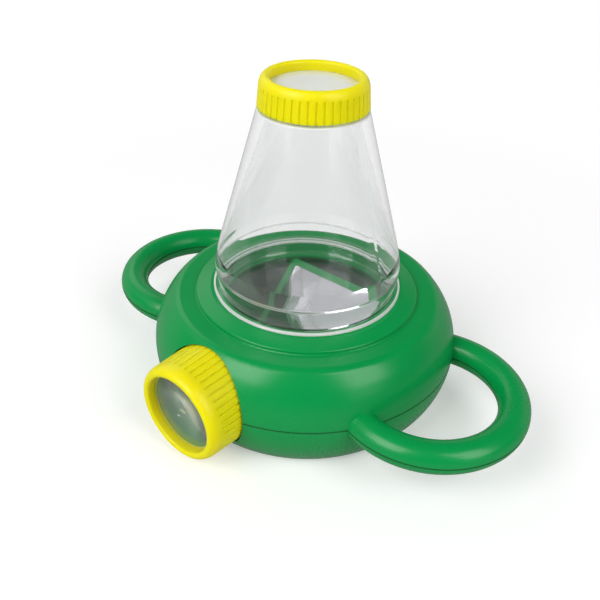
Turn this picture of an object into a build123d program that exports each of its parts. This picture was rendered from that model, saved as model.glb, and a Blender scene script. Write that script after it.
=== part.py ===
"""A bug catcher jar on a viewing base.

A clear cone with a lens on top stands on a round green base with two loop handles. A mirror under the clear
floor shows the underside of the catch through a second lens in the base's side.

Millimetres, +Z up. The origin is on the jar's axis, on the surface that the base stands on. The handles lie
along X and the side lens looks out along -Y.
"""
from build123d import *
import os
from math import atan, atan2, cos, degrees, radians, sin, sqrt, tan

os.makedirs("parts", exist_ok=True)

# Base shells
body_radius = 74.6              # widest place of the base, at the parting line
dome_arc = 35.0                 # section radius of the upper shell's side
bowl_arc = 39.0                 # section radius of the lower shell's side
shell_wall = 2.2
parting_bevel = 0.4             # edge break that shows the parting line
rim_rise = 25.7                 # from the parting line up to the flat rim round the platform
rim_width = 9.9                 # from the platform out to where the rim would meet the dome
rim_round = 5.0
platform_step = 1.7             # height of the platform's edge above the rim
platform_rise = 1.5             # height of the jar's seat above the platform's edge
platform_slope = 7.0            # width of the slope from the platform's edge in to the seat
platform_edge_round = 0.8
platform_foot_round = 0.6
seat_width = 4.5                # flat ring round the well, on which the jar's flange stands
seat_play = 0.1                 # air that the seats' grain leaves under the flange and under the floor
base_round = 4.0
bowl_round = 2.5                # inside corner between bowl and base plate

# Handles
handle_inset = 0.2              # from the base's widest place in to the middle of each loop
handle_loop = 38.1              # middle of the loop to the middle of the grip
handle_grip = 7.2               # radius of the round grip
handle_wall = 2.2
handle_spread = 115.0           # half of the loop's turn, whose ends lie inside the body

# Well and clear floor
floor_drop = 5.8                # from the jar's seat down to the clear floor
floor_thickness = 1.5
floor_fit = 0.3
floor_bevel = 0.3
ledge_width = 2.5
ledge_thickness = 1.2

# Housing screws
screw_angle = 42.1              # from the handles' line round to each screw
screw_offset = 5.0              # from the well's wall out to the middle of each screw
screw_radius = 1.5
screw_length = 20.0
screw_head_radius = 2.8
screw_head_height = 2.0
screw_seat_height = 12.0        # where the heads seat inside the lower shell
screw_slot = 0.7
screw_slot_length = 3.9
screw_slot_depth = 1.0
screw_fit = 0.3                 # round the shank in the lower shell, and round the head
pilot_fit = 0.05                # round the shank in the upper shell
boss_wall = 2.2

# Mirror and its frame
mirror_lean = 45.0
frame_side_gap = 8.8            # from the ledge's inner edge in to the frame's side
frame_back_gap = 13.3           # from the ledge's inner edge in to the frame's upper edge
frame_top_gap = 0.25            # between the frame's upper edge and the ledge's underside
frame_foot_gap = 2.2            # between the frame's lower edge and the base plate
frame_thickness = 3.2
frame_border = 3.4
frame_corner = 3.0
tray_corner = 1.0
mirror_thickness = 1.8
mirror_fit = 0.2
gusset_thickness = 2.5
rib_thickness = 1.4
rib_height = 3.5
rib_length = 18.0
rib_fit = 0.2

# Clear jar
flange_margin = 1.5             # flat seat that shows round the flange
flange_width = 2.6              # from the flange's edge in to the collar
flange_thickness = 1.6
flange_round = 0.5
collar_flare = 1.5              # by how much the collar widens up to the crease
collar_height = 11.6            # from the seat to the crease
crease_round = 1.0
cone_overhang = 1.0             # by how much the cone, drawn on downwards, would pass the crease
cone_rise = 75.5                # from the crease to the cone's top
jar_wall = 2.0
neck_wall = 2.0
spigot_gap = 0.8                # between the spigot and the clear floor
spigot_fit = 0.3
spigot_wall = 1.8

# Eyepieces
ring_radius = 24.0              # over the ribs
ring_wall = 2.7                 # from the ribs' tops in to the neck
ring_gap = 1.2                  # between the jar's shoulder and the top ring
top_ring_length = 12.7
side_ring_length = 23.9
side_ring_proud = 12.3          # from the base's widest place out to the front of the side ring
top_band = 3.7                  # smooth front of the top ring, before its ribs
side_band = 6.5                 # the same on the side ring
ring_taper = 0.7                # by how much a ring narrows from its back to its lip
lip_round = 5.0                 # height of the lip's outer rounding
lip_width = 1.6                 # from the lip's crest in to the opening
lip_inner_round = 1.2
window_depth = 4.2              # from the lip's crest to the ledge in front of the lens
lens_inset = 1.4                # from the neck's outside in to the lens's edge
lens_ledge = 1.0                # width of the ledge in front of the lens
lens_rim = 1.2
lens_front_rise = 2.4
lens_back_rise = 1.5
lens_fit = 0.3
lens_play = 0.05
retainer_thickness = 1.0
retainer_width = 1.9
retainer_fit = 0.3
thread_fit = 0.3
stop_gap = 0.2                  # between the ring's inner step and the neck
flute_count = 45
flute_width = 0.8               # of each groove between two ribs
flute_depth = 0.5

# Side tube and the pocket round the side ring
tube_wall = 2.0
tube_flange_width = 2.7
tube_flange_thickness = 1.8
tube_fit = 0.3
pocket_fit = 0.5
pocket_floor = 2.3              # plate left under the pocket
pocket_gap = 1.0                # behind the side ring
pocket_wall = 2.0
sleeve_wall = 2.0
cut_overrun = 4.0               # how far cutters run past the walls that they cut

# Values worked out from the sizes above
parting_height = ring_radius + pocket_fit + pocket_floor
dome_center = body_radius - dome_arc
bowl_center = body_radius - bowl_arc
rim_height = parting_height + rim_rise
rim_radius = dome_center + sqrt(dome_arc**2 - rim_rise**2)
platform_radius = rim_radius - rim_width
platform_edge_height = rim_height + platform_step
seat_radius = platform_radius - platform_slope
seat_height = platform_edge_height + platform_rise
handle_center = body_radius - handle_inset
well_radius = seat_radius - seat_width
floor_height = seat_height - floor_drop
ledge_radius = well_radius - ledge_width
ledge_top = floor_height - floor_thickness - seat_play
ledge_bottom = ledge_top - ledge_thickness
screw_circle = well_radius + shell_wall + screw_offset
screw_x = screw_circle * cos(radians(screw_angle))
screw_y = screw_circle * sin(radians(screw_angle))
boss_radius = screw_head_radius + screw_fit + boss_wall
neck_radius = ring_radius - ring_wall
lens_radius = neck_radius - lens_inset
opening_radius = lens_radius - lens_ledge
lip_crest_radius = opening_radius + lip_width
lip_radius = ring_radius - ring_taper
step_depth = window_depth + lens_rim + 2 * lens_play + retainer_thickness
ring_bore = neck_radius + thread_fit
cone_top_radius = ring_radius
crease_height = seat_height + collar_height
cone_top_height = crease_height + cone_rise
top_ring_bottom = cone_top_height + ring_gap
neck_top = top_ring_bottom + top_ring_length - step_depth - stop_gap
side_ring_reach = body_radius + side_ring_proud
side_ring_back = side_ring_reach - side_ring_length
pocket_radius = ring_radius + pocket_fit
pocket_end = side_ring_back - pocket_gap
tube_front = side_ring_reach - step_depth - stop_gap
tube_flange_radius = neck_radius + tube_flange_width
groove_front = pocket_end - pocket_wall
groove_back = groove_front - tube_flange_thickness - 2 * tube_fit
sleeve_back = groove_back - pocket_wall

upright = Plane.XZ
top_plane = Plane.XY.offset(top_ring_bottom)
side_plane = Plane(origin=(0, -side_ring_back, parting_height), x_dir=(1, 0, 0), z_dir=(0, -1, 0))
tube_plane = Plane(origin=(0, -groove_back - tube_fit, parting_height), x_dir=(1, 0, 0), z_dir=(0, -1, 0))
screw_places = [(screw_x, screw_y), (-screw_x, screw_y), (-screw_x, -screw_y), (screw_x, -screw_y)]


def dome_radius(height, inset=0.0):
    """Radius of the upper shell's side at a height, inset from its outer face."""
    return dome_center + sqrt((dome_arc - inset) ** 2 - (height - parting_height) ** 2)


def bowl_radius(height, inset=0.0):
    """Radius of the lower shell's side at a height, inset from its outer face."""
    return bowl_center + sqrt((bowl_arc - inset) ** 2 - (parting_height - height) ** 2)


def side_arc(center, radius, low, high):
    """Arc of a shell's side between two heights, in the section plane."""
    start = degrees(atan2(low - parting_height, sqrt(radius**2 - (low - parting_height) ** 2)))
    stop = degrees(atan2(high - parting_height, sqrt(radius**2 - (high - parting_height) ** 2)))
    return CenterArc((center, parting_height), radius, start, stop - start)


def corner(sketch, radius, height):
    """The sketch's vertex nearest to a place in its section."""
    return sketch.vertices().sort_by_distance((radius, height, 0))[0]


def section_plane(plane):
    """Half-plane through a plane's axis, with the radius along its x and the axis along its y."""
    return Plane(origin=plane.origin, x_dir=plane.x_dir, z_dir=plane.x_dir.cross(plane.z_dir))


def handle_loops(side):
    """Half of both loop handles, as hollow half tubes: side is 1 above the parting plane and -1 below it."""
    with BuildPart() as loops:
        for facing in (0, 180):
            start = radians(facing - handle_spread)
            center = (handle_center * cos(radians(facing)), 0, parting_height)
            outward = (cos(start), sin(start), 0)
            with BuildSketch(Plane(origin=center, x_dir=outward, z_dir=(sin(start), -cos(start), 0))):
                with Locations((handle_loop, 0)):
                    Circle(handle_grip)
                    Circle(handle_grip - handle_wall, mode=Mode.SUBTRACT)
                    for edge in (handle_grip, -handle_grip):
                        with Locations((edge, 0)):
                            RegularPolygon(parting_bevel, 4, mode=Mode.SUBTRACT)
                with Locations((handle_loop, -side * handle_grip)):
                    Rectangle(2 * (handle_grip + cut_overrun), 2 * handle_grip, mode=Mode.SUBTRACT)
            revolve(axis=Axis(center, (0, 0, 1)), revolution_arc=2 * handle_spread)
    return loops.part


def body_core():
    """The space inside the base's walls, out to half their thickness."""
    half_wall = shell_wall / 2
    with BuildPart() as core:
        with BuildSketch(upright):
            with BuildLine():
                side_arc(bowl_center, bowl_arc - half_wall, half_wall, parting_height)
                side_arc(dome_center, dome_arc - half_wall, parting_height, rim_height - half_wall)
                Polyline(
                    (dome_radius(rim_height - half_wall, half_wall), rim_height - half_wall),
                    (0, rim_height - half_wall),
                    (0, half_wall),
                    (bowl_radius(half_wall, half_wall), half_wall),
                )
            make_face()
        revolve(axis=Axis.Z)
    return core.part


def eyepiece_sleeve(side):
    """Half of the wall round the side ring's pocket and round the groove for the tube's flange."""
    back_plane = Plane(origin=(0, -sleeve_back, parting_height), x_dir=(1, 0, 0), z_dir=(0, -1, 0))
    length = body_radius - sleeve_back
    with BuildPart() as sleeve:
        with BuildSketch(back_plane):
            Circle(pocket_radius + sleeve_wall)
        extrude(amount=length)
        add(body_core(), mode=Mode.INTERSECT)
        split(bisect_by=Plane.XY.offset(parting_height), keep=Keep.TOP if side > 0 else Keep.BOTTOM)
    return sleeve.part


def eyepiece_bores():
    """What is cut away along the side lens's axis: the pocket, the tube's bore and its flange groove."""
    with BuildPart() as bores:
        for start, stop, radius in (
            (pocket_end, side_ring_reach, pocket_radius),
            (sleeve_back - cut_overrun, pocket_end, neck_radius + tube_fit),
            (groove_back, groove_front, tube_flange_radius + tube_fit),
        ):
            with BuildSketch(Plane(origin=(0, -start, parting_height), x_dir=(1, 0, 0), z_dir=(0, -1, 0))):
                Circle(radius)
            extrude(amount=stop - start)
    return bores.part


# Lower shell: bowl and flat base plate, the lower half of both handles and of the side pocket, four
# screw posts open from below, and ribs that hold the mirror frame's feet.
lean = radians(mirror_lean)
frame_top = ledge_bottom - frame_top_gap
frame_foot = shell_wall + frame_foot_gap + frame_thickness * cos(lean)
frame_middle = (frame_top + frame_foot) / 2
frame_length = (frame_top - frame_foot) / sin(lean)
frame_width = 2 * (ledge_radius - frame_side_gap)
frame_back_y = ledge_radius - frame_back_gap
mirror_y = frame_back_y - frame_length / 2 * cos(lean)
gusset_x = frame_width / 2 - gusset_thickness / 2
with BuildPart() as lower_housing:
    add(handle_loops(-1))
    add(body_core(), mode=Mode.SUBTRACT)
    with BuildSketch(upright) as bowl_section:
        with BuildLine():
            side_arc(bowl_center, bowl_arc, 0, parting_height - parting_bevel)
            Polyline(
                (bowl_radius(parting_height - parting_bevel), parting_height - parting_bevel),
                (body_radius - parting_bevel, parting_height),
                (body_radius - shell_wall, parting_height),
            )
            side_arc(bowl_center, bowl_arc - shell_wall, shell_wall, parting_height)
            Polyline(
                (bowl_radius(shell_wall, shell_wall), shell_wall),
                (0, shell_wall),
                (0, 0),
                (bowl_radius(0), 0),
            )
        make_face()
        fillet(corner(bowl_section, bowl_radius(0), 0), base_round)
        fillet(corner(bowl_section, bowl_radius(shell_wall, shell_wall), shell_wall), bowl_round)
    revolve(axis=Axis.Z)
    add(eyepiece_sleeve(-1))
    add(eyepiece_bores(), mode=Mode.SUBTRACT)
    with BuildSketch():
        with Locations(*screw_places):
            Circle(boss_radius)
    extrude(amount=parting_height)
    with Locations(*[(x, y, parting_height) for x, y in screw_places]):
        Hole(screw_radius + screw_fit)
    with BuildSketch():
        with Locations(*screw_places):
            Circle(screw_head_radius + screw_fit)
    extrude(amount=screw_seat_height, mode=Mode.SUBTRACT)
    rib_offset = gusset_thickness / 2 + rib_fit + rib_thickness / 2
    with BuildSketch(Plane.XY.offset(shell_wall)):
        for x in (gusset_x, -gusset_x):
            for offset_x in (rib_offset, -rib_offset):
                with Locations((x + offset_x, mirror_y)):
                    Rectangle(rib_thickness, rib_length)
    extrude(amount=rib_height)
lower_housing.part.label = "lower_housing"
export_step(lower_housing.part, "parts/lower_housing.step")


# Upper shell: domed side, flat rim, raised platform and the well with the ledge for the clear floor, the
# upper half of both handles and of the side pocket, and four posts that the screws bite into.
with BuildPart() as upper_housing:
    add(handle_loops(1))
    add(body_core(), mode=Mode.SUBTRACT)
    with BuildSketch(upright) as dome_section:
        with BuildLine():
            side_arc(dome_center, dome_arc, parting_height + parting_bevel, rim_height)
            Polyline(
                (rim_radius, rim_height),
                (platform_radius, rim_height),
                (platform_radius, platform_edge_height),
                (seat_radius, seat_height),
                (well_radius, seat_height),
                (well_radius, ledge_top),
                (ledge_radius, ledge_top),
                (ledge_radius, ledge_bottom),
                (well_radius + shell_wall, ledge_bottom),
                (well_radius + shell_wall, rim_height - shell_wall),
                (dome_radius(rim_height - shell_wall, shell_wall), rim_height - shell_wall),
            )
            side_arc(dome_center, dome_arc - shell_wall, parting_height, rim_height - shell_wall)
            Polyline(
                (body_radius - shell_wall, parting_height),
                (body_radius - parting_bevel, parting_height),
                (dome_radius(parting_height + parting_bevel), parting_height + parting_bevel),
            )
        make_face()
        fillet(corner(dome_section, rim_radius, rim_height), rim_round)
        inner_crest = dome_radius(rim_height - shell_wall, shell_wall)
        fillet(corner(dome_section, inner_crest, rim_height - shell_wall), rim_round - shell_wall)
        fillet(corner(dome_section, platform_radius, platform_edge_height), platform_edge_round)
        fillet(corner(dome_section, platform_radius, rim_height), platform_foot_round)
    revolve(axis=Axis.Z)
    add(eyepiece_sleeve(1))
    add(eyepiece_bores(), mode=Mode.SUBTRACT)
    with BuildSketch(Plane.XY.offset(parting_height)):
        with Locations(*screw_places):
            Circle(screw_radius + boss_wall)
    extrude(amount=rim_height - shell_wall - parting_height)
    with BuildSketch(Plane.XY.offset(parting_height)):
        with Locations(*screw_places):
            Circle(screw_radius + pilot_fit)
    extrude(amount=screw_seat_height + screw_length - parting_height + boss_wall, mode=Mode.SUBTRACT)
upper_housing.part.label = "upper_housing"
export_step(upper_housing.part, "parts/upper_housing.step")


# Four pan-head screws with a cross recess, driven from below.
with BuildPart() as housing_screws:
    for place in screw_places:
        with BuildSketch(Plane.XY.offset(screw_seat_height)):
            with Locations(place):
                Circle(screw_radius)
        extrude(amount=screw_length)
        with BuildSketch(Plane.XY.offset(screw_seat_height - screw_head_height)):
            with Locations(place):
                Circle(screw_head_radius)
        extrude(amount=screw_head_height)
        with BuildSketch(Plane.XY.offset(screw_seat_height - screw_head_height)):
            with Locations(place):
                Rectangle(screw_slot_length, screw_slot)
                Rectangle(screw_slot, screw_slot_length)
        extrude(amount=screw_slot_depth, mode=Mode.SUBTRACT)
housing_screws.part.label = "housing_screws"
export_step(housing_screws.part, "parts/housing_screws.step")


# Mirror frame: a leaning tray with a raised border on two side walls, whose feet stand between ribs.
frame_plane = Plane(origin=(0, mirror_y, frame_middle), x_dir=(1, 0, 0), z_dir=(0, -sin(lean), cos(lean)))
tray_drop = frame_thickness / cos(lean)


def tray_underside(y):
    """Height of the tray's underside at a distance along Y."""
    return frame_middle + (y - mirror_y) * tan(lean) - tray_drop


wall_front_y = mirror_y + (shell_wall - tray_underside(mirror_y)) / tan(lean)
wall_back_y = frame_back_y - frame_corner
with BuildPart() as mirror_frame:
    with BuildSketch(frame_plane):
        RectangleRounded(frame_width, frame_length, frame_corner)
    extrude(amount=-frame_thickness)
    for x in (gusset_x, -gusset_x):
        with BuildSketch(Plane.YZ.offset(x - gusset_thickness / 2)):
            with BuildLine():
                Polyline(
                    (wall_front_y, shell_wall),
                    (wall_back_y, shell_wall),
                    (wall_back_y, tray_underside(wall_back_y) + tray_drop / 2),
                    (wall_front_y, shell_wall + tray_drop / 2),
                    close=True,
                )
            make_face()
        extrude(amount=gusset_thickness)
    with BuildSketch(frame_plane):
        RectangleRounded(frame_width - 2 * frame_border, frame_length - 2 * frame_border, tray_corner)
    extrude(amount=-mirror_thickness, mode=Mode.SUBTRACT)
mirror_frame.part.label = "mirror_frame"
export_step(mirror_frame.part, "parts/mirror_frame.step")


# Mirror: a flat plate in the frame's tray.
with BuildPart() as mirror:
    with BuildSketch(frame_plane.offset(-mirror_thickness)):
        RectangleRounded(
            frame_width - 2 * frame_border - 2 * mirror_fit,
            frame_length - 2 * frame_border - 2 * mirror_fit,
            tray_corner - mirror_fit,
        )
    extrude(amount=mirror_thickness - mirror_fit)
mirror.part.label = "mirror"
export_step(mirror.part, "parts/mirror.step")


# Clear floor of the well, which lies on the upper shell's ledge.
with BuildPart() as specimen_floor:
    with BuildSketch(Plane.XY.offset(floor_height - floor_thickness)):
        Circle(well_radius - floor_fit)
    extrude(amount=floor_thickness)
    chamfer(specimen_floor.edges().filter_by(GeomType.CIRCLE), floor_bevel)
specimen_floor.part.label = "specimen_floor"
export_step(specimen_floor.part, "parts/specimen_floor.step")


# Clear jar: a spigot that plugs into the well, a flange, a collar, a crease and the cone with its neck.
spigot_radius = well_radius - spigot_fit
spigot_bore = spigot_radius - spigot_wall
spigot_bottom = floor_height + spigot_gap
flange_radius = seat_radius - flange_margin
flange_bottom = seat_height + seat_play
flange_top = flange_bottom + flange_thickness
collar_radius = flange_radius - flange_width
crease_radius = collar_radius + collar_flare
cone_foot_radius = crease_radius + cone_overhang
cone_slope = (cone_foot_radius - cone_top_radius) / (cone_top_height - crease_height)
bend_rise = (cone_foot_radius - crease_radius) / (cone_slope - tan(atan(cone_slope) / 2))
bend_height = crease_height + bend_rise
bend_radius = cone_foot_radius - cone_slope * bend_rise
wall_shift = jar_wall * sqrt(1 + cone_slope**2)
with BuildPart() as clear_jar:
    with BuildSketch(upright) as jar_section:
        with BuildLine():
            Polyline(
                (spigot_bore, spigot_bottom),
                (spigot_radius, spigot_bottom),
                (spigot_radius, flange_bottom),
                (flange_radius, flange_bottom),
                (flange_radius, flange_top),
                (collar_radius, flange_top),
                (crease_radius, crease_height),
            )
            TangentArc((crease_radius, crease_height), (bend_radius, bend_height), tangent=(0, 1))
            Polyline(
                (bend_radius, bend_height),
                (cone_top_radius, cone_top_height),
                (neck_radius, cone_top_height),
                (neck_radius, neck_top),
                (neck_radius - neck_wall, neck_top),
                (neck_radius - neck_wall, cone_top_height - jar_wall),
                (bend_radius - wall_shift, bend_height),
                (crease_radius - wall_shift, crease_height),
                (collar_radius - jar_wall, flange_top),
                (spigot_bore, flange_bottom),
                (spigot_bore, spigot_bottom),
            )
        make_face()
        fillet(corner(jar_section, flange_radius, flange_bottom), flange_round)
        fillet(corner(jar_section, flange_radius, flange_top), flange_round)
        fillet(corner(jar_section, crease_radius, crease_height), crease_round)
        fillet(corner(jar_section, cone_top_radius, cone_top_height), flange_round)
    revolve(axis=Axis.Z)
clear_jar.part.label = "clear_jar"
export_step(clear_jar.part, "parts/clear_jar.step")


def ring_flutes(plane, rib_length, taper):
    """The grooves between a ring's ribs, whose floors follow the ring's taper."""
    floor_radius = ring_radius - flute_depth
    with BuildPart() as flutes:
        with BuildSketch(plane):
            with PolarLocations(ring_radius, flute_count):
                Rectangle(2 * ring_wall, flute_width)
        extrude(amount=rib_length)
        with BuildSketch(section_plane(plane)):
            with BuildLine():
                Polyline(
                    (0, 0),
                    (floor_radius, 0),
                    (floor_radius - taper * rib_length, rib_length),
                    (0, rib_length),
                    close=True,
                )
            make_face()
        revolve(axis=Axis(plane.origin, plane.z_dir), mode=Mode.SUBTRACT)
    return flutes.part


def eyepiece_ring(plane, length, band):
    """A tapering ring with ribs and a rounded lip, a ledge for its lens and a bore that fits a neck."""
    side_length = length - lip_round
    with BuildPart() as ring:
        with BuildSketch(section_plane(plane)):
            with BuildLine():
                Polyline((ring_bore, 0), (ring_radius, 0), (lip_radius, side_length))
                EllipticalCenterArc(
                    (lip_crest_radius, side_length),
                    lip_radius - lip_crest_radius,
                    lip_round,
                    arc_size=90,
                )
                EllipticalCenterArc(
                    (lip_crest_radius, length - lip_inner_round),
                    lip_width,
                    lip_inner_round,
                    start_angle=90,
                    arc_size=90,
                )
                Polyline(
                    (opening_radius, length - lip_inner_round),
                    (opening_radius, length - window_depth),
                    (lens_radius + lens_fit, length - window_depth),
                    (lens_radius + lens_fit, length - step_depth),
                    (ring_bore, length - step_depth),
                    (ring_bore, 0),
                )
            make_face()
        revolve(axis=Axis(plane.origin, plane.z_dir))
        add(ring_flutes(plane, length - band, ring_taper / side_length), mode=Mode.SUBTRACT)
    return ring.part


def cap_arc(edge, height, rise):
    """Section of a lens's bulge from its edge to the axis: a positive rise bulges to the front."""
    radius = (edge**2 + rise**2) / (2 * abs(rise))
    up = 1 if rise > 0 else -1
    start = degrees(atan2(radius - abs(rise), edge))
    return CenterArc((0, height + rise - up * radius), radius, up * start, up * (90 - start))


def eyepiece_lens(plane, length):
    """A lens with a flat rim, bulging more to the front than to the back, behind its ring's ledge."""
    front = length - window_depth - lens_play
    back = front - lens_rim
    front_edge = opening_radius - lens_fit
    back_edge = lens_radius - retainer_width - lens_fit
    with BuildPart() as lens:
        with BuildSketch(section_plane(plane)):
            with BuildLine():
                cap_arc(front_edge, front, lens_front_rise)
                Polyline((front_edge, front), (lens_radius, front), (lens_radius, back), (back_edge, back))
                cap_arc(back_edge, back, -lens_back_rise)
                Line((0, back - lens_back_rise), (0, front + lens_front_rise))
            make_face()
        revolve(axis=Axis(plane.origin, plane.z_dir))
    return lens.part


def lens_retainer(plane, length):
    """A flat ring that is pressed into the eyepiece behind its lens."""
    front = length - step_depth + retainer_thickness
    outer = lens_radius + lens_fit - retainer_fit
    with BuildPart() as retainer:
        with BuildSketch(plane.offset(front - retainer_thickness)):
            Circle(outer)
            Circle(outer - retainer_width, mode=Mode.SUBTRACT)
        extrude(amount=retainer_thickness)
    return retainer.part


# Side tube: a short tube whose flange is held in the groove between the two shells.
with BuildPart() as side_tube:
    with BuildSketch(tube_plane):
        Circle(tube_flange_radius)
    extrude(amount=tube_flange_thickness)
    with BuildSketch(tube_plane):
        Circle(neck_radius)
    extrude(amount=tube_front - groove_back - tube_fit)
    with BuildSketch(tube_plane):
        Circle(neck_radius - tube_wall)
    extrude(amount=tube_front - groove_back - tube_fit, mode=Mode.SUBTRACT)
side_tube.part.label = "side_tube"
export_step(side_tube.part, "parts/side_tube.step")


# Eyepieces: the short one on the jar's neck and the long one on the side tube.
for name, plane, length, band in (
    ("top", top_plane, top_ring_length, top_band),
    ("side", side_plane, side_ring_length, side_band),
):
    for piece, solid in (
        ("ring", eyepiece_ring(plane, length, band)),
        ("lens", eyepiece_lens(plane, length)),
        ("lens_retainer", lens_retainer(plane, length)),
    ):
        solid.label = f"{name}_{piece}"
        export_step(solid, f"parts/{name}_{piece}.step")
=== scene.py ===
from math import cos, radians, sin

import bpy
from mathutils import Euler, Matrix, Vector

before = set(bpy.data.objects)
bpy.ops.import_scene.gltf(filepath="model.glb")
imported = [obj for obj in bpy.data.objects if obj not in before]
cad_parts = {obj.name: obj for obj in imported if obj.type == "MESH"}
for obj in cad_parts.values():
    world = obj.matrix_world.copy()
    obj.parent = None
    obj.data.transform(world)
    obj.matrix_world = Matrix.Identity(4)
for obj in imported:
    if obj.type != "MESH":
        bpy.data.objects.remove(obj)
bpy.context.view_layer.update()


# Housing: two hollow green shells that meet at half height, each with half of both loop handles moulded on.
# Polypropylene with the fine grain of its mould, a little uneven in colour and shine, with a painted shadow
# in the seam where four screws pull the shells together.
class Shade:
    """One output of a material's nodes. Sums and products of outputs add the nodes that work them out."""

    def __init__(self, tree, socket=None):
        self.tree = tree
        self.socket = socket

    def node(self, kind, settings=None, inputs=None, output=0):
        """A new node: its settings come first, then the values or links of its sockets."""
        made = self.tree.nodes.new("ShaderNode" + kind)
        for name, value in (settings or {}).items():
            setattr(made, name, value)
        for name, value in (inputs or {}).items():
            if isinstance(value, Shade):
                self.tree.links.new(value.socket, made.inputs[name])
            else:
                made.inputs[name].default_value = value
        return Shade(self.tree, made.outputs[output] if made.outputs else None)

    def maths(self, operation, first, second=0.0):
        """A Math node of one or two values."""
        return self.node("Math", {"operation": operation}, {0: first, 1: second})

    def __add__(self, other):
        return self.maths("ADD", self, other)

    def __sub__(self, other):
        return self.maths("SUBTRACT", self, other)

    def __mul__(self, other):
        return self.maths("MULTIPLY", self, other)

    def __rsub__(self, other):
        return self.maths("SUBTRACT", other, self)

    __radd__ = __add__
    __rmul__ = __mul__


def new_finish(name):
    """An empty material and the maker of its nodes."""
    material = bpy.data.materials.new(name)
    material.use_nodes = True
    material.node_tree.nodes.clear()
    return material, Shade(material.node_tree)


def along_axes(vector, axes):
    """The parts of a vector along the axes that are named."""
    return [vector.node("SeparateXYZ", inputs={"Vector": vector}, output=axis) for axis in axes]


def smooth_rise(value, start, end):
    """Goes smoothly from 0 to 1 while the value goes from start to end."""
    return value.node(
        "MapRange", {"interpolation_type": "SMOOTHSTEP"}, {"Value": value, "From Min": start, "From Max": end}
    )


def colour_mix(share, first, second):
    """The first colour where the share is 0, and the second where it is 1. The node takes them at 6 and 7."""
    return share.node("Mix", {"data_type": "RGBA"}, {"Factor": share, 6: first, 7: second}, output=2)


def moulded_plastic(name, pale, deep, dullness, gloss, grain_depth, seam_height=None, depth_glow=0.0):
    """Moulded plastic: two tones in slow drifts, the mould's fine grain, and a seam at a given height.

    The seam's colour is darkened as a painted shadow, and the seam is duller. The depth glow is the share of
    the light that spreads inside the plastic and softens its grooves.
    """
    grain_size = 0.0005
    drift_swing = 0.10
    grain_swing = 0.08
    material, make = new_finish(name)
    place = make.node("TexCoord", output="Object")
    drift = make.node("TexNoise", inputs={"Vector": place, "Scale": 22.0, "Detail": 3.0})
    grain = make.node("TexNoise", inputs={"Vector": place, "Scale": 1 / grain_size, "Detail": 2.0})
    tone = colour_mix(drift, (*deep, 1), (*pale, 1))
    roughness = dullness + drift_swing * (drift - 0.5) + grain_swing * (grain - 0.5)
    if seam_height is not None:
        seam_half = 0.0003
        seam_fade = 0.0006
        painted_seam_shadow_factor = 0.45
        seam_dullness = 0.6
        # Painted shadow: the base colour is darkened along the seam, standing in for the shade in the groove
        # between the shells.
        (height,) = along_axes(place, "Z")
        off_seam = smooth_rise(make.maths("ABSOLUTE", height - seam_height), seam_half, seam_fade)
        painted_seam_shadow_tone = tuple(painted_seam_shadow_factor * part for part in deep)
        tone = colour_mix(off_seam, (*painted_seam_shadow_tone, 1), tone)
        roughness = roughness + seam_dullness * (1.0 - off_seam)
    bump = make.node("Bump", inputs={"Strength": 0.5, "Distance": grain_depth, "Height": grain})
    surface = make.node(
        "BsdfPrincipled",
        inputs={
            "Base Color": tone,
            "Roughness": roughness,
            "Specular IOR Level": gloss,
            "Subsurface Weight": depth_glow,
            "Subsurface Radius": (1.0, 0.9, 0.2),
            "Subsurface Scale": 0.003,
            "Normal": bump,
        },
    )
    make.node("OutputMaterial", inputs={"Surface": surface})
    return material


def wear(node, material):
    """Puts a finish on a CAD node."""
    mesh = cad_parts[node].data
    mesh.materials.clear()
    mesh.materials.append(material)


parting_height = 0.0268
housing_green = (0.0008, 0.33, 0.075)
housing_deep_green = (0.0005, 0.30, 0.064)
green_plastic = moulded_plastic(
    "green_plastic",
    housing_green,
    housing_deep_green,
    dullness=0.25,
    gloss=0.4,
    grain_depth=0.00004,
    seam_height=parting_height,
)
for node in ("lower_housing", "upper_housing"):
    wear(node, green_plastic)


# Side tube: a green tube that carries the side ring, with a flange that the two shells hold between them.
# Moulded in the housing's plastic, but with a duller face, because it is hidden.
inner_green = moulded_plastic(
    "inner_green", housing_green, housing_deep_green, dullness=0.5, gloss=0.2, grain_depth=0.00004
)
wear("side_tube", inner_green)


# Housing screws: four slotted screws, driven from the underside up into the upper shell's posts.
# Turned steel with a dull coat of zinc.
screw_dullness = 0.25
plating_swing = 0.2
screw_steel, make = new_finish("screw_steel")
place = make.node("TexCoord", output="Object")
plating = make.node("TexNoise", inputs={"Vector": place, "Scale": 900.0, "Detail": 3.0})
surface = make.node(
    "BsdfPrincipled",
    inputs={
        "Base Color": (0.55, 0.55, 0.54, 1),
        "Metallic": 1.0,
        "Roughness": screw_dullness + plating_swing * plating,
    },
)
make.node("OutputMaterial", inputs={"Surface": surface})
wear("housing_screws", screw_steel)


# Mirror and its frame: a silvered plastic plate that lies in a leaning green tray under the clear floor.
# The plate is cut from coated sheet, so it is a little wavy and smeared.
# The tray is moulded like the side tube.
mirror_dullness = 0.03
smear_swing = 0.06
mirror_plate, make = new_finish("mirror_plate")
place = make.node("TexCoord", output="Object")
wave = make.node("TexNoise", inputs={"Vector": place, "Scale": 30.0, "Detail": 1.0})
smear = make.node("TexNoise", inputs={"Vector": place, "Scale": 160.0, "Detail": 4.0})
bump = make.node("Bump", inputs={"Strength": 0.25, "Distance": 0.0004, "Height": wave})
surface = make.node(
    "BsdfPrincipled",
    inputs={
        "Base Color": (0.80, 0.79, 0.83, 1),
        "Metallic": 1.0,
        "Roughness": mirror_dullness + smear_swing * smear,
        "Normal": bump,
    },
)
make.node("OutputMaterial", inputs={"Surface": surface})
wear("mirror", mirror_plate)
wear("mirror_frame", inner_green)


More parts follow.
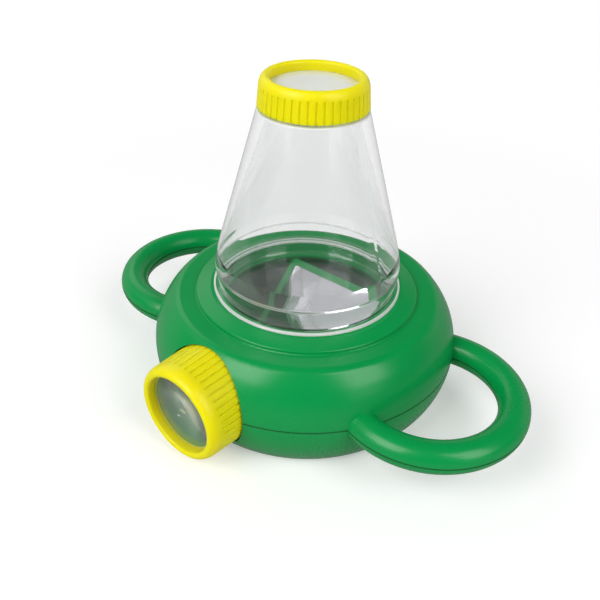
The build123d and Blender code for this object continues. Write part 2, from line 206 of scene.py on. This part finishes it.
# Clear floor: a disc that lies on the ledge of the well and closes it over the mirror.
# Polished clear polystyrene with slight waves and the smears of handling. It bends and mirrors what is seen
# in it, and lamps shine straight through it.
def ray_of(make, kind):
    """1 on rays of a kind, such as Camera or Shadow, and 0 on all others."""
    return make.node("LightPath", output=f"Is {kind} Ray")


def clear_plastic(name, tint, painted_edge_shade, wave_depth, haze, bend, painted_light_bands=(), painted_light_share=0.0):
    """Clear plastic that darkens towards a tint where it is seen edge on: a painted shade for the dim room
    mirrored there.

    A band of painted light, a milky white that stands in for light the plastic gathers, lies between two
    heights, outside a distance from the jar's axis. The painted light share is that of the whole piece.
    """
    material, make = new_finish(name)
    place = make.node("TexCoord", output="Object")
    wave = make.node("TexNoise", inputs={"Vector": place, "Scale": 40.0, "Detail": 1.0})
    handling = make.node("TexNoise", inputs={"Vector": place, "Scale": 120.0, "Detail": 5.0})
    bump = make.node("Bump", inputs={"Strength": 0.3, "Distance": wave_depth, "Height": wave})
    # Painted shade: the colour darkens where the plastic is seen edge on, standing in for the dim room
    # mirrored at the edges.
    slant = make.node("LayerWeight", inputs={"Blend": 0.5}, output="Facing")
    surface = make.node(
        "BsdfPrincipled",
        inputs={
            "Base Color": colour_mix(slant * slant, (*tint, 1), (*painted_edge_shade, 1)),
            "Roughness": haze * (0.5 + handling),
            "IOR": bend,
            "Transmission Weight": 1.0,
            "Normal": bump,
        },
    )
    shares = [painted_light_share] if painted_light_share else []
    if painted_light_bands:
        east, north, height = along_axes(place, "XYZ")
        from_axis = make.maths("SQRT", east * east + north * north)
        for band in painted_light_bands:
            above = make.maths("GREATER_THAN", height, band["low"])
            below = make.maths("LESS_THAN", height, band["high"])
            outside = make.maths("GREATER_THAN", from_axis, band["inside"])
            shares.append(band["share"] * above * below * outside)
    # Painted light: a milky white is mixed in by these shares, standing in for light that the clear plastic
    # gathers.
    if shares:
        painted_light_white = make.node("BsdfPrincipled", inputs={"Base Color": (0.86, 0.88, 0.86, 1), "Roughness": 0.3})
        for share in shares:
            surface = make.node("MixShader", inputs={0: share, 1: surface, 2: painted_light_white})
    lamplight = make.maths("MAXIMUM", ray_of(make, "Shadow"), ray_of(make, "Diffuse"))
    clear = make.node("BsdfTransparent", inputs={"Color": (*tint, 1)})
    surface = make.node("MixShader", inputs={0: lamplight, 1: surface, 2: clear})
    make.node("OutputMaterial", inputs={"Surface": surface})
    return material


jar_tint = (0.945, 0.95, 0.95)
# Painted shade for the jar's and the clear floor's edges, where they are seen edge on.
jar_edge_on_painted_shade = (0.78, 0.785, 0.785)
floor_plastic = clear_plastic(
    "floor_plastic", jar_tint, jar_edge_on_painted_shade, wave_depth=0.0002, haze=0.03, bend=1.5
)
wear("specimen_floor", floor_plastic)


# Jar: a clear cone with a collar and a flange at its foot, which plugs into the well, and a neck at its top.
# Polished polystyrene, moulded in one shot. The thick flange, the crease above the collar and the shoulder
# under the top ring gather light from all round the wall, which is painted on them as a milky white.
flange = {"low": 0.0554, "high": 0.0580, "inside": 0.0440, "share": 0.68}
crease = {"low": 0.0670, "high": 0.0677, "inside": 0.0, "share": 0.4}
shoulder = {"low": 0.1422, "high": 0.1484, "inside": 0.0, "share": 0.85}
jar_plastic = clear_plastic(
    "jar_plastic",
    jar_tint,
    jar_edge_on_painted_shade,
    wave_depth=0.0002,
    haze=0.03,
    bend=1.5,
    painted_light_bands=(flange, crease, shoulder),
)
wear("clear_jar", jar_plastic)


# Lenses: two clear magnifying lenses, which lie against a ledge in their rings.
# Polished polystyrene. The top lens is bright with the light in the jar, painted on as half milky white, and
# bends little. The side lens looks into the dark housing, is a little dull, and has a trace of painted light.
lens_tint = (0.98, 0.985, 0.98)
top_lens_plastic = clear_plastic(
    "top_lens_plastic", lens_tint, lens_tint, wave_depth=0.00002, haze=0.04, bend=1.12, painted_light_share=0.5
)
wear("top_lens", top_lens_plastic)
side_lens_plastic = clear_plastic(
    "side_lens_plastic", lens_tint, lens_tint, wave_depth=0.00002, haze=0.18, bend=1.5, painted_light_share=0.03
)
wear("side_lens", side_lens_plastic)


# Rings and retainers: yellow rings with fine grooves and a rounded lip, which screw onto the jar's neck and
# onto the side tube. A retainer holds each lens in its ring.
# Polypropylene like the housing's. Light spreads inside it, so its grooves look soft.
yellow_plastic = moulded_plastic(
    "yellow_plastic",
    pale=(0.91, 0.82, 0.005),
    deep=(0.87, 0.78, 0.004),
    dullness=0.36,
    gloss=0.3,
    grain_depth=0.00003,
    depth_glow=1.0,
)
for node in ("top_ring", "side_ring", "top_lens_retainer", "side_lens_retainer"):
    wear(node, yellow_plastic)


# Table: a matt white table top, which keeps the object's soft shadow and turns pure white further out.
# Mirrored in the plastic it is dim, most of all in front of the object, as if the table ended there.
floor_half = 4.0
floor_mesh = bpy.data.meshes.new("floor")
floor_mesh.from_pydata(
    [(x * floor_half, y * floor_half, 0) for x, y in ((-1, -1), (1, -1), (1, 1), (-1, 1))], [], [(0, 1, 2, 3)]
)
floor = bpy.data.objects.new("floor", floor_mesh)
bpy.context.scene.collection.objects.link(floor)


def mirrored_ray(make):
    """1 on rays that a surface mirrored, without those through clear plastic, which count as glossy too."""
    return ray_of(make, "Glossy") * (1.0 - ray_of(make, "Transmission"))


def toward(azimuth, east, north):
    """How far a place or a direction lies toward an azimuth."""
    return cos(radians(azimuth)) * east + sin(radians(azimuth)) * north


camera_azimuth = -51
shadow_reach = 0.16
white_reach = 0.42
table_edge = 0.16
table_end = 0.4
mirrored_dimming = 0.8
floor_paint, make = new_finish("floor_paint")
place = make.node("TexCoord", output="Object")
east, north = along_axes(place, "XY")
distance = make.node("VectorMath", {"operation": "LENGTH"}, {0: place}, output="Value")
matt = make.node("BsdfDiffuse", inputs={"Color": (0.75, 0.75, 0.75, 1)})
lift = make.node("Emission", inputs={"Color": (1, 1, 1, 1), "Strength": 0.36})
near = make.node("AddShader", inputs={0: matt, 1: lift})
white = make.node("Emission", inputs={"Color": (1, 1, 1, 1), "Strength": 1.0})
afar = smooth_rise(distance, shadow_reach, white_reach)
shown = make.node("MixShader", inputs={0: afar, 1: near, 2: white})
beyond_table = smooth_rise(toward(camera_azimuth, east, north), table_edge, table_end)
dimming = mirrored_ray(make) * (mirrored_dimming + (1.0 - mirrored_dimming) * beyond_table)
dim = make.node("Emission", inputs={"Color": (1, 1, 1, 1), "Strength": 0.16})
shown = make.node("MixShader", inputs={0: dimming, 1: shown, 2: dim})
seen = make.maths("MAXIMUM", ray_of(make, "Camera"), ray_of(make, "Glossy"))
seen = make.maths("MAXIMUM", seen, ray_of(make, "Transmission"))
surface = make.node("MixShader", inputs={0: seen, 1: matt, 2: shown})
make.node("OutputMaterial", inputs={"Surface": surface})
floor_mesh.materials.append(floor_paint)


# Room: dim walls and a dim ceiling, a pale wall low down behind the object, and a white backdrop.
# Surfaces that mirror the room see it darker, with a low white panel on each side of the camera.
room_glow = 0.16
mirrored_room_glow = 0.04
pale_wall_glow = 0.84
mirrored_wall_share = 0.5
panel_glow = 1.3
panel_azimuths = (-102, -7)
pale_wall_side = (0.0, 0.5)
pale_wall_top = (0.25, 0.6)
panel_foot = (0.05, 0.13)
panel_side = (0.955, 0.98)
backdrop_through = 0.45
room = bpy.data.worlds.new("room")
room.use_nodes = True
room.node_tree.nodes.clear()
make = Shade(room.node_tree)
direction = make.node("TexCoord", output="Generated")
east, north, height = along_axes(direction, "XYZ")
mirrored = mirrored_ray(make)
behind = smooth_rise(toward(camera_azimuth + 180, east, north), *pale_wall_side)
low = 1.0 - smooth_rise(height, *pale_wall_top)
raised = smooth_rise(height, *panel_foot)
wall_share = 1.0 - (1.0 - mirrored_wall_share) * mirrored
wall = room_glow - (room_glow - mirrored_room_glow) * mirrored + pale_wall_glow * behind * low * wall_share
for azimuth in panel_azimuths:
    panel = smooth_rise(toward(azimuth, east, north), *panel_side)
    wall = wall + panel_glow * mirrored * raised * panel
backdrop = make.maths("MAXIMUM", ray_of(make, "Camera"), backdrop_through * ray_of(make, "Transmission"))
sky = make.node("Background", inputs={"Color": make.maths("MAXIMUM", backdrop, wall), "Strength": 1.0})
make.node("OutputWorld", inputs={"Surface": sky})
bpy.context.scene.world = room


# Lamps: two tall soft boxes, one on each side of the camera, and two weak panels on the left and behind.
# Each is a white cloth in a frame on a stand, aimed at the jar's foot.
lamp_distance = 2.0
lamp_aim = Vector((0, 0, 0.05))


def soft_box(name, azimuth, elevation, width, height, power):
    """A lamp with a white cloth, in a direction from the object."""
    light = bpy.data.lights.new(name, "AREA")
    light.shape = "RECTANGLE"
    light.size = width
    light.size_y = height
    light.energy = power
    stand = bpy.data.objects.new(name, light)
    out = Vector((lamp_distance, 0, 0))
    out.rotate(Euler((0, -radians(elevation), radians(azimuth))))
    stand.location = lamp_aim + out
    stand.rotation_euler = out.to_track_quat("Z", "Y").to_euler()
    bpy.context.scene.collection.objects.link(stand)


soft_box("left_soft_box", azimuth=-100, elevation=39, width=1.15, height=1.4, power=26)
soft_box("right_soft_box", azimuth=-3, elevation=39, width=1.0, height=1.5, power=18)
soft_box("left_panel", azimuth=-146, elevation=40, width=1.3, height=1.3, power=2)
soft_box("back_panel", azimuth=165, elevation=36, width=1.0, height=1.0, power=3)


# Camera: stands to the right of the side ring, higher than the top ring, and looks down at the base.
# Its place, lens and tilt are the photograph's, found from the object's own edges in the picture.
camera_place = (0.1895, -0.2334, 0.25125)
camera_right = Vector((0.7578, 0.6520, 0.0271))
camera_up = Vector((-0.3867, 0.4152, 0.8234))
camera_back = camera_right.cross(camera_up)
camera_turn = Matrix((camera_right, camera_up, camera_back)).transposed().to_4x4()
camera_data = bpy.data.cameras.new("camera")
camera_data.sensor_width = 36.0
camera_data.lens = 44.17
camera = bpy.data.objects.new("camera", camera_data)
camera.matrix_world = Matrix.Translation(camera_place) @ camera_turn
bpy.context.scene.collection.objects.link(camera)
bpy.context.scene.camera = camera
bpy.context.scene.view_settings.view_transform = "Standard"
